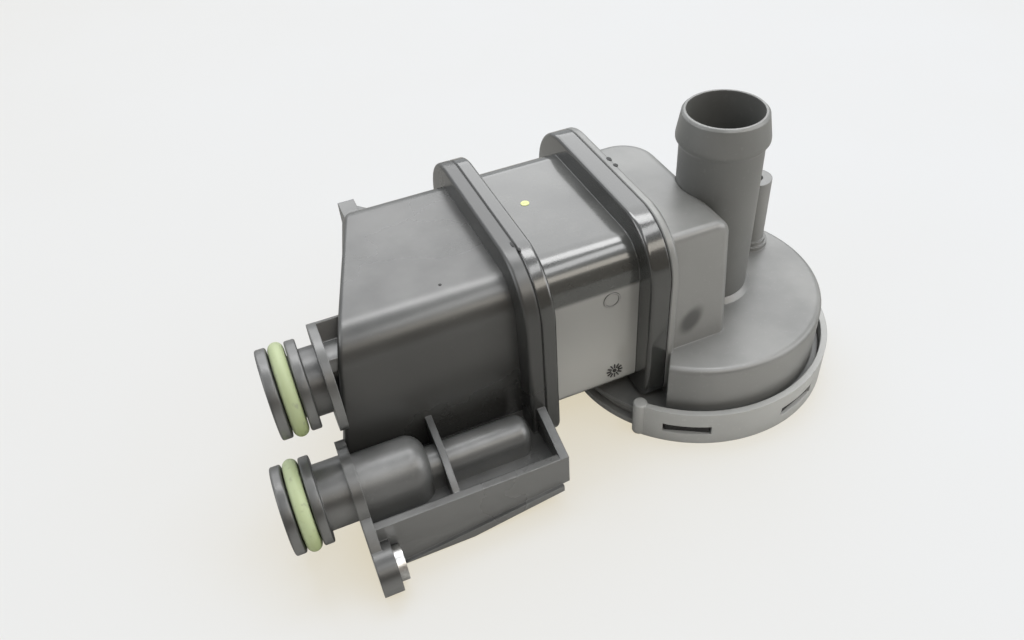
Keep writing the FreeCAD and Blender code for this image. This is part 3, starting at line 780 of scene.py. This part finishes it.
def carve(piece: bpy.types.Object, low: Place, high: Place) -> None:
    """Cut a box out of a piece.

    Args:
        piece: The object.
        low: The box's low corner, in millimetres.
        high: The box's high corner, in millimetres.
    """
    cutter = block("cutter", low, high)
    apply_modifier(piece, "BOOLEAN", {"operation": "DIFFERENCE", "object": cutter, "solver": "EXACT"})
    bpy.data.objects.remove(cutter)


def coat(piece: bpy.types.Object, finish: Finish, slot: Slot) -> None:
    """Give a new piece its material.

    Args:
        piece: The object.
        finish: Its finish.
        slot: Not used.
    """
    piece.data.materials.clear()
    piece.data.materials.append(finish.material())


def dress(piece: bpy.types.Object, finish: Finish, slot: Slot = Slot.HOUSING) -> None:
    """Give a new piece on the housing its material and body.

    Args:
        piece: The object.
        finish: Its finish.
        slot: The record's material slot.
    """
    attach(piece, Body.HOUSING.value)
    coat(piece, finish, slot)


class Assembly:
    """Pieces that are built in one go."""

    def build(self) -> list[bpy.types.Object]:
        """Return the finished pieces."""
        raise NotImplementedError


@dataclass
class KeptNode(Assembly):
    """A CAD node that stays and gets a better material."""

    node: str
    finish: Finish

    def build(self) -> list[bpy.types.Object]:
        """Return the node's own object in its new material."""
        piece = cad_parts[self.node]
        for holder in piece.material_slots:
            holder.material = self.finish.material()
        return [piece]


@dataclass
class SmoothShell(Assembly):
    """A merged, smooth-shaded copy that stands for a CAD node."""

    node: str
    finish: Finish
    slot: Slot = Slot.HOUSING
    trim: tuple[Place, ...] = ()
    merge: float = 0.004

    def build(self) -> list[bpy.types.Object]:
        """Return the smooth copy in place of its node."""
        piece = self.skin()
        dress(piece, self.finish, self.slot)
        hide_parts(self.node)
        return [piece]

    def skin(self) -> bpy.types.Object:
        """Return the node's merged, smooth copy."""
        piece = copied(self.node + "_skin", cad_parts[self.node].data)
        activate(piece)
        bpy.ops.object.mode_set(mode="EDIT")
        bpy.ops.mesh.select_all(action="SELECT")
        bpy.ops.mesh.remove_doubles(threshold=self.merge * MM)
        bpy.ops.mesh.customdata_custom_splitnormals_clear()
        bpy.ops.object.mode_set(mode="OBJECT")
        if self.trim:
            carve(piece, *self.trim)
        smooth(piece, SHELL_ANGLE)
        return piece


@dataclass
class ValveSpring(SmoothShell):
    """The coil spring, a smooth copy of its node with its place put into the mesh."""

    wire: float = 1.1

    def build(self) -> list[bpy.types.Object]:
        """Return the spring in place of its node."""
        piece = self.skin()
        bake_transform(piece)
        coat(piece, self.finish, self.slot)
        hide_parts(self.node)
        return [piece]


@dataclass
class LeftCover(Assembly):
    """The left shell's outer skin, with a tight slanted end."""

    finish: Finish
    front: float = -17.92
    back: float = 45.5
    low: float = 13.2
    high: float = 64.92
    flange_x: float = -69.0
    corner: Place = (-125.34, -18.5, 12.6)
    lean: float = 0.137
    turn: float = 0.294
    top_radius: float = 10.4
    low_radius: float = 4.9
    end_radius: float = 1.5

    def build(self) -> list[bpy.types.Object]:
        """Return the block, cut to its slant and rounded."""
        far = 2 * self.corner[0] - self.flange_x
        piece = block("left_cover", (far, self.front, self.low), (self.flange_x, self.back, self.high))
        point = Vector(self.corner) * MM
        normal = Vector((-1.0, self.turn, self.lean)).normalized()
        bpy.ops.object.mode_set(mode="EDIT")
        bpy.ops.mesh.select_all(action="SELECT")
        bpy.ops.mesh.bisect(plane_co=point, plane_no=normal, use_fill=True, clear_outer=True)
        bpy.ops.object.mode_set(mode="OBJECT")
        round_edges(piece, self.top_radius, 16, lambda edge: self.runs_at(edge, self.high))
        round_edges(piece, self.low_radius, 8, lambda edge: self.runs_at(edge, self.low))
        round_edges(
            piece,
            self.end_radius,
            5,
            lambda edge: all(abs((vert.co - point).dot(normal)) < 2 * NEAR for vert in edge.verts),
        )
        smooth(piece, SHELL_ANGLE)
        dress(piece, self.finish)
        return [piece]

    def runs_at(self, edge: Any, level: float) -> bool:
        """Return whether an edge runs along X at a height."""
        reach = edge.verts[1].co - edge.verts[0].co
        along = abs(reach.y) < NEAR and abs(reach.z) < NEAR
        return along and all(abs(vert.co.z - level * MM) < NEAR for vert in edge.verts)


@dataclass
class RunArch(Assembly):
    """An arched oil run that stands on the trough's floor, with a rounded end."""

    name: str
    low: Place
    high: Place
    end_radius: float
    finish: Finish
    crown_gap: float = 0.02

    def build(self) -> list[bpy.types.Object]:
        """Return the run as a block with a round top and end."""
        piece = block(self.name, self.low, self.high)
        crown = (self.high[1] - self.low[1]) / 2 - self.crown_gap
        round_edges(piece, crown, 14, self.is_crown)
        round_edges(piece, self.end_radius, 8, self.is_end)
        smooth(piece, DETAIL_ANGLE)
        dress(piece, self.finish)
        return [piece]

    def is_crown(self, edge: Any) -> bool:
        """Return whether an edge runs along the top."""
        top = self.high[2] * MM - NEAR
        along = abs(edge.verts[0].co.y - edge.verts[1].co.y) < NEAR
        return along and all(vert.co.z > top for vert in edge.verts)

    def is_end(self, edge: Any) -> bool:
        """Return whether an edge bounds the right end above the floor."""
        right = self.high[0] * MM - NEAR
        floor = self.low[2] * MM + NEAR
        above = any(vert.co.z > floor for vert in edge.verts)
        return above and all(vert.co.x > right for vert in edge.verts)


@dataclass
class CapPost(Assembly):
    """The round post where the cap's skirt starts."""

    foot: Place
    radius: float
    height: float
    finish: Finish
    edge: float = 0.5

    def build(self) -> list[bpy.types.Object]:
        """Return the post with a rounded top edge."""
        deselect()
        x, y, z = self.foot
        bpy.ops.mesh.primitive_cylinder_add(
            vertices=36,
            radius=self.radius * MM,
            depth=self.height * MM,
            location=(x * MM, y * MM, (z + self.height / 2) * MM),
        )
        piece = named("cap_post")
        settle(piece)
        soften(piece, self.edge, 3)
        smooth(piece, DETAIL_ANGLE)
        dress(piece, self.finish)
        return [piece]


@dataclass
class WindowShades(Assembly):
    """Dark plates in the cap's snap windows, painted shade for their depth, one plate modelled and the rest
    copied.
    """

    finish: Finish
    radius: float = 43.95
    first_deg: float = -121.5
    pitch_deg: float = 49.4
    count: int = 5
    size: Place = (0.24, 13.6, 3.2)
    middle_z: float = 5.8
    edge: float = 0.1

    def build(self) -> list[bpy.types.Object]:
        """Return one plate in each window."""
        middle = (self.radius, 0.0, self.middle_z)
        low = tuple(place - size / 2 for place, size in zip(middle, self.size))
        high = tuple(place + size / 2 for place, size in zip(middle, self.size))
        first = block("window_shade_0", low, high)
        soften(first, self.edge, 2)
        pieces = [first] + [copied(f"window_shade_{index}", first.data) for index in range(1, self.count)]
        for index, piece in enumerate(pieces):
            piece.rotation_euler = (0.0, 0.0, math.radians(self.first_deg + index * self.pitch_deg))
            settle(piece)
            dress(piece, self.finish)
        return pieces


@dataclass
class WeldBead(Assembly):
    """The line of weld flash that stands in the groove of one flange seam."""

    name: str
    seam_x: float
    finish: Finish
    front: float = -25.3
    back: float = 52.9
    low: float = 9.0
    high: float = 72.3
    top_radius: float = 17.8
    low_radius: float = 6.0
    width: float = 0.7
    sunk: float = 0.28
    edge: float = 0.22

    def build(self) -> list[bpy.types.Object]:
        """Return the bead as one thin rounded band."""
        front, back = self.front + self.sunk, self.back - self.sunk
        low, high = self.low + self.sunk, self.high - self.sunk
        middle_z = (low + high) / 2 * MM
        deselect()
        bpy.ops.mesh.primitive_plane_add(size=1.0, rotation=(0.0, math.radians(90.0), 0.0))
        piece = named(self.name)
        piece.scale = ((high - low) * MM, (back - front) * MM, 1.0)
        piece.location = ((self.seam_x - self.width / 2) * MM, (front + back) / 2 * MM, middle_z)
        settle(piece)
        pick(piece, "VERT", lambda vert: vert.co.z > middle_z)
        bpy.ops.mesh.bevel(offset=(self.top_radius - self.sunk) * MM, segments=18, affect="VERTICES")
        pick(piece, "VERT", lambda vert: vert.co.z < low * MM + NEAR)
        bpy.ops.mesh.bevel(offset=(self.low_radius - self.sunk) * MM, segments=10, affect="VERTICES")
        bpy.ops.mesh.select_all(action="SELECT")
        bpy.ops.mesh.extrude_region_move(TRANSFORM_OT_translate={"value": (self.width * MM, 0.0, 0.0)})
        bpy.ops.mesh.select_all(action="SELECT")
        bpy.ops.mesh.normals_make_consistent(inside=False)
        bpy.ops.object.mode_set(mode="OBJECT")
        soften(piece, self.edge, 2, limit_deg=50.0)
        smooth(piece, DETAIL_ANGLE)
        dress(piece, self.finish)
        return [piece]


@dataclass
class Stud(Assembly):
    """A low round mark on a face of the box: a dab of paint, a speck, a ring or a dial's hub."""

    name: str
    side: Side
    place: Place
    radius: float
    height: float
    finish: Finish
    slot: Slot = Slot.HOUSING
    stretch: float = 1.0
    hole: float = 0.0
    edge_share: float = 0.3

    def build(self) -> list[bpy.types.Object]:
        """Return the mark, bevelled and set into its face."""
        ahead = self.side is Side.FRONT
        deselect()
        bpy.ops.mesh.primitive_cylinder_add(
            vertices=40,
            radius=self.radius * MM,
            depth=self.height * MM,
            location=[value * MM for value in self.place],
            rotation=(math.radians(90.0) if ahead else 0.0, 0.0, 0.0),
        )
        piece = named(self.name)
        piece.scale = (self.stretch, 1.0, 1.0)
        settle(piece)
        if self.hole > 0.0:
            axis = Axis.Y if ahead else Axis.Z
            pick(piece, "FACE", lambda face: abs(face.normal[axis.value]) > 0.9)
            bpy.ops.mesh.inset(thickness=(self.radius - self.hole) * MM)
            bpy.ops.mesh.bridge_edge_loops()
        soften(piece, min(self.height, self.radius) * self.edge_share, 3)
        smooth(piece, DETAIL_ANGLE)
        dress(piece, self.finish, self.slot)
        return [piece]


@dataclass
class MouldDial(Assembly):
    """A plain moulded dial of short rays on the middle shell's front."""

    place: Place
    finish: Finish
    inner: float = 1.15
    outer: float = 2.75
    ray: float = 0.42
    height: float = 0.5
    edge: float = 0.12
    hub_radius: float = 0.7
    count: int = 12

    def build(self) -> list[bpy.types.Object]:
        """Return the rays, one modelled and the rest copied, and the hub."""
        x, y, z = self.place
        low = (x - self.ray / 2, y - self.height / 2, z + self.inner)
        high = (x + self.ray / 2, y + self.height / 2, z + self.outer)
        first = block("dial_ray_00", low, high)
        soften(first, self.edge, 2)
        pieces = [first] + [copied(f"dial_ray_{index:02d}", first.data) for index in range(1, self.count)]
        centre = Vector(self.place) * MM
        for index, piece in enumerate(pieces):
            turn = Matrix.Rotation(2.0 * math.pi * index / self.count, 4, "Y")
            piece.matrix_world = Matrix.Translation(centre) @ turn @ Matrix.Translation(-centre)
            settle(piece)
            dress(piece, self.finish, Slot.GLOSS)
        hub = Stud("dial_hub", Side.FRONT, self.place, self.hub_radius, self.height, self.finish, Slot.GLOSS)
        return pieces + hub.build()


@dataclass(frozen=True)
class SoftLamp:
    """A soft lamp that faces the part, with distance and size in metres and power in watts."""

    name: str
    towards: Place
    distance: float
    size: tuple[float, float]
    power: float
    tone: Colour = (1.0, 1.0, 1.0)

    def hang(self, centre: Place) -> None:
        """Add the lamp in its direction from a centre."""
        data = bpy.data.lights.new(self.name, "AREA")
        data.shape = "RECTANGLE"
        data.size, data.size_y = self.size
        data.energy = self.power
        data.color = self.tone
        lamp = bpy.data.objects.new(self.name, data)
        bpy.context.scene.collection.objects.link(lamp)
        direction = Vector(self.towards).normalized()
        lamp.location = Vector(centre) + direction * self.distance
        lamp.rotation_euler = direction.to_track_quat("Z", "Y").to_euler()


@dataclass
class Studio:
    """The table, lamps, room and camera, in metres."""

    centre: Place = (-0.045, 0.005, 0.035)
    eye: Place = (-0.12726, -0.17847, 0.20815)
    right: Place = (0.92021, -0.38627, -0.06328)
    up: Place = (0.30310, 0.60091, 0.73963)
    ahead: Place = (0.24767, 0.69980, -0.67004)
    lens: float = 29.43
    sensor: float = 36.0
    table: float = 3.0
    sky: Colour = (0.70, 0.72, 0.74)
    wall: Colour = (0.17, 0.14, 0.115)
    backdrop: Colour = (0.84, 0.85, 0.86)
    lamps: tuple[SoftLamp, ...] = (
        SoftLamp("back_softbox", (0.25, 0.75, 0.70), 0.95, (1.2, 0.8), 5.5),
        SoftLamp("overhead_softbox", (0.12, 0.30, 1.0), 1.0, (0.9, 0.28), 5.0),
        SoftLamp("left_softbox", (-1.0, 0.10, 0.55), 0.90, (0.5, 0.5), 1.8),
        SoftLamp("right_softbox", (1.0, -0.55, 0.50), 0.90, (0.6, 0.6), 3.2),
        SoftLamp("strip_softbox", (0.24, -0.36, 0.93), 0.80, (0.75, 0.16), 1.5),
        SoftLamp("warm_softbox", (0.26, -0.78, 0.72), 0.80, (0.75, 0.18), 1.3, (1.0, 0.94, 0.84)),
    )

    def build(self) -> None:
        """Add everything around the part."""
        self.floor()
        for lamp in self.lamps:
            lamp.hang(self.centre)
        self.room()
        self.camera()
        bpy.context.scene.view_settings.view_transform = "Standard"

    def floor(self) -> None:
        """Add the table."""
        deselect()
        bpy.ops.mesh.primitive_plane_add(size=self.table)
        top = named("table_top")
        top.data.materials.append(TABLE_PALE.material())

    def room(self) -> None:
        """Add the world: a pale sky, a dark wall ahead of the part and a pale backdrop to the eye."""
        world = bpy.data.worlds.new("room")
        bpy.context.scene.world = world
        world.use_nodes = True
        tree = world.node_tree
        where = make_node(tree, "ShaderNodeTexCoord", {}, {}, "Generated")
        low = 1.0 - where.part(Axis.Z).ramp(0.62, 0.90)
        wall = (0.0 - where.part(Axis.Y)).ramp(0.05, 0.55) * low
        seen = make_node(tree, "ShaderNodeLightPath", {}, {}, "Is Camera Ray")
        colour = seen.tint(wall.tint(self.sky, self.wall), self.backdrop)
        tree.links.new(colour.socket, tree.nodes["Background"].inputs["Color"])

    def camera(self) -> None:
        """Add the camera at the photograph's viewing angle."""
        data = bpy.data.cameras.new("camera")
        data.sensor_fit = "HORIZONTAL"
        data.sensor_width = self.sensor
        data.lens = self.lens
        data.clip_start = 0.01
        camera = bpy.data.objects.new("camera", data)
        bpy.context.scene.collection.objects.link(camera)
        columns = (Vector(self.right), Vector(self.up), -Vector(self.ahead), Vector(self.eye))
        rows = [[column[row] for column in columns] for row in range(3)]
        camera.matrix_world = Matrix(rows + [[0.0, 0.0, 0.0, 1.0]])
        bpy.context.scene.camera = camera


def housing() -> list[Assembly]:
    """Return the welded box, its runs, the pipe and the cap."""
    neck_room = ((-120.5, -30.0, 36.0), (-108.0, -16.2, 62.0))
    return [
        SmoothShell("left_shell", BRACKET_PLASTIC, trim=neck_room),
        LeftCover(SHELL_PLASTIC_PAINTED_SHADE),
        RunArch("pipe_run", (-122.8, -35.5, 13.8), (-102.5, -18.1, 30.1), 5.5, RUN_PLASTIC_PAINTED_LIGHT),
        RunArch("drain_run", (-106.0, -32.35, 13.8), (-71.9, -21.25, 24.15), 3.5, RUN_PLASTIC_PAINTED_LIGHT),
        SmoothShell("middle_shell", GLOSS_PLASTIC, Slot.GLOSS),
        SmoothShell("right_shell", DRUM_PLASTIC),
        SmoothShell("outlet_pipe", PIPE_PLASTIC),
        SmoothShell("valve_cap", CAP_PLASTIC),
        CapPost((-34.2, -27.7, 0.3), 2.2, 12.9, CAP_PLASTIC),
        WindowShades(DARK_SPECK_AND_SHADE),
    ]


def fittings() -> list[Assembly]:
    """Return the seal rings, the bush and what is inside."""
    return [
        SmoothShell("upper_o_ring", UPPER_RUBBER, Slot.SEAL),
        SmoothShell("lower_o_ring", LOWER_RUBBER, Slot.SEAL),
        SmoothShell("lug_bush", BUSH_STEEL, Slot.BUSH),
        KeptNode("nozzle_plate", INNER_PLASTIC),
        KeptNode("impact_plate", INNER_PLASTIC),
        KeptNode("diaphragm_plate", INNER_PLASTIC),
        KeptNode("diaphragm", DIAPHRAGM_RUBBER),
        ValveSpring("valve_spring", SPRING_STEEL, Slot.SPRING),
    ]


def marks() -> list[Assembly]:
    """Return the weld flash, the small marks on the box, the ring and the dial."""
    ring_place = (-39.9, MIDDLE_FRONT_Y, 50.1)
    dial_place = (-38.5, MIDDLE_FRONT_Y, 20.7)
    top = Side.TOP
    return [
        WeldBead("weld_bead_1", FIRST_SEAM_X, WELD_FLASH),
        WeldBead("weld_bead_2", SECOND_SEAM_X, WELD_FLASH),
        Stud("paint_dab", top, (-50.9, 16.8, 65.5), 1.35, 0.3, MARK_PAINT),
        Stud("speck", top, (-86.3, -7.0, 64.9), 0.45, 0.3, DARK_SPECK_AND_SHADE),
        # The nick is a dark stud: painted shade for the cut.
        Stud("seam_nick_shade", top, (FIRST_SEAM_X - 0.6, -8.6, 72.1), 1.2, 0.5, DARK_SPECK_AND_SHADE, stretch=0.4),
        Stud("seam_crumb", top, (FIRST_SEAM_X + 0.3, -11.4, 72.05), 0.9, 0.5, DARK_SPECK_AND_SHADE, stretch=0.45),
        # The two notches are dark studs: painted shade for the recesses.
        Stud("edge_notch_shade", top, (-22.5, 17.2, FLANGE_TOP_Z), 1.2, 0.4, DARK_SPECK_AND_SHADE, stretch=0.6),
        Stud("edge_chip_shade", top, (-22.4, 13.2, FLANGE_TOP_Z), 0.9, 0.4, DARK_SPECK_AND_SHADE, stretch=0.8),
        MouldDial(dial_place, DARK_SPECK_AND_SHADE),
        Stud("mould_ring", Side.FRONT, ring_place, 2.7, 0.5, GLOSS_PLASTIC, Slot.GLOSS, hole=2.1),
    ]


def main() -> None:
    """Build the pieces in order, report each, and add the studio."""
    logging.basicConfig(level=logging.INFO, format="%(name)s: %(message)s")
    for assembly in housing() + fittings() + marks():
        for piece in assembly.build():
            log.info("%s: %d faces", piece.name, len(piece.data.polygons))
    Studio().build()


if __name__ == "__main__":
    main()
